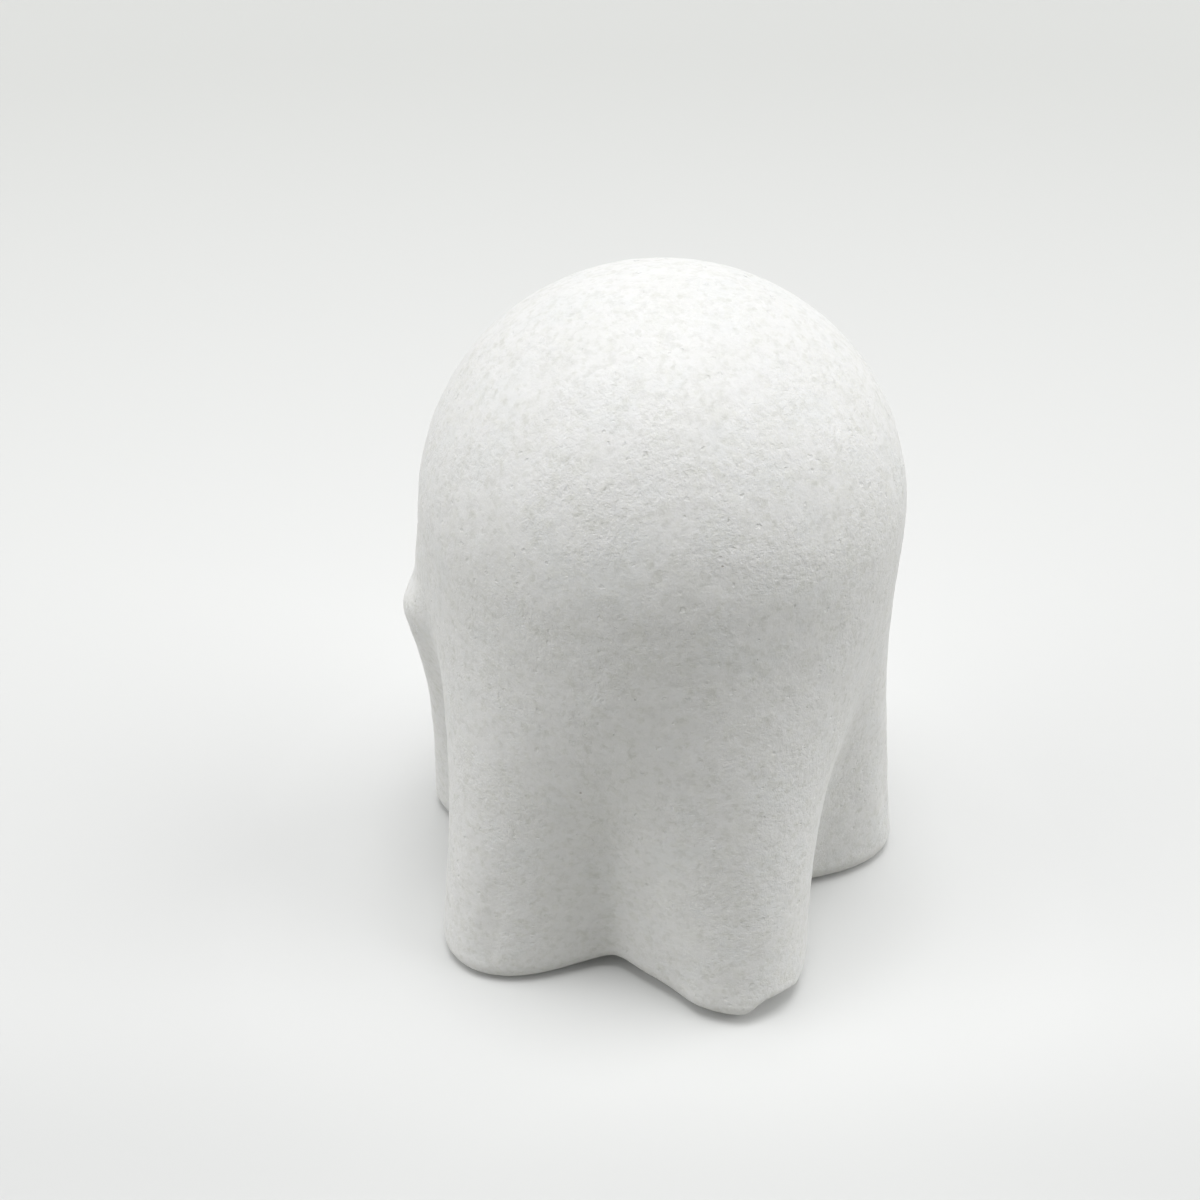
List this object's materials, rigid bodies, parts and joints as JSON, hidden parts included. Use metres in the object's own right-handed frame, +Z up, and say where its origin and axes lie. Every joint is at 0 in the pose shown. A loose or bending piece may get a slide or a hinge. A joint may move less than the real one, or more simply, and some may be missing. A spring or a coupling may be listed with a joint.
{
  "type": "marble ghost carving",
  "caption": "Small free-standing ghost figure carved from white marble: smooth domed head, stub arms, oval eye hollows and a folded hem that stands on a flat base.",
  "frame": {"origin": "on the flat base, straight below the middle of the dome", "axes": "+Z up, the figure's front faces -Y, its left arm is on the +X side"},
  "size_m": [0.0557, 0.0536, 0.07],
  "materials": {
    "marble": "satin, tumbled, medium-grained white"
  },
  "bodies": {
    "root": {"marble_body": "marble"}
  },
  "joints": []
}
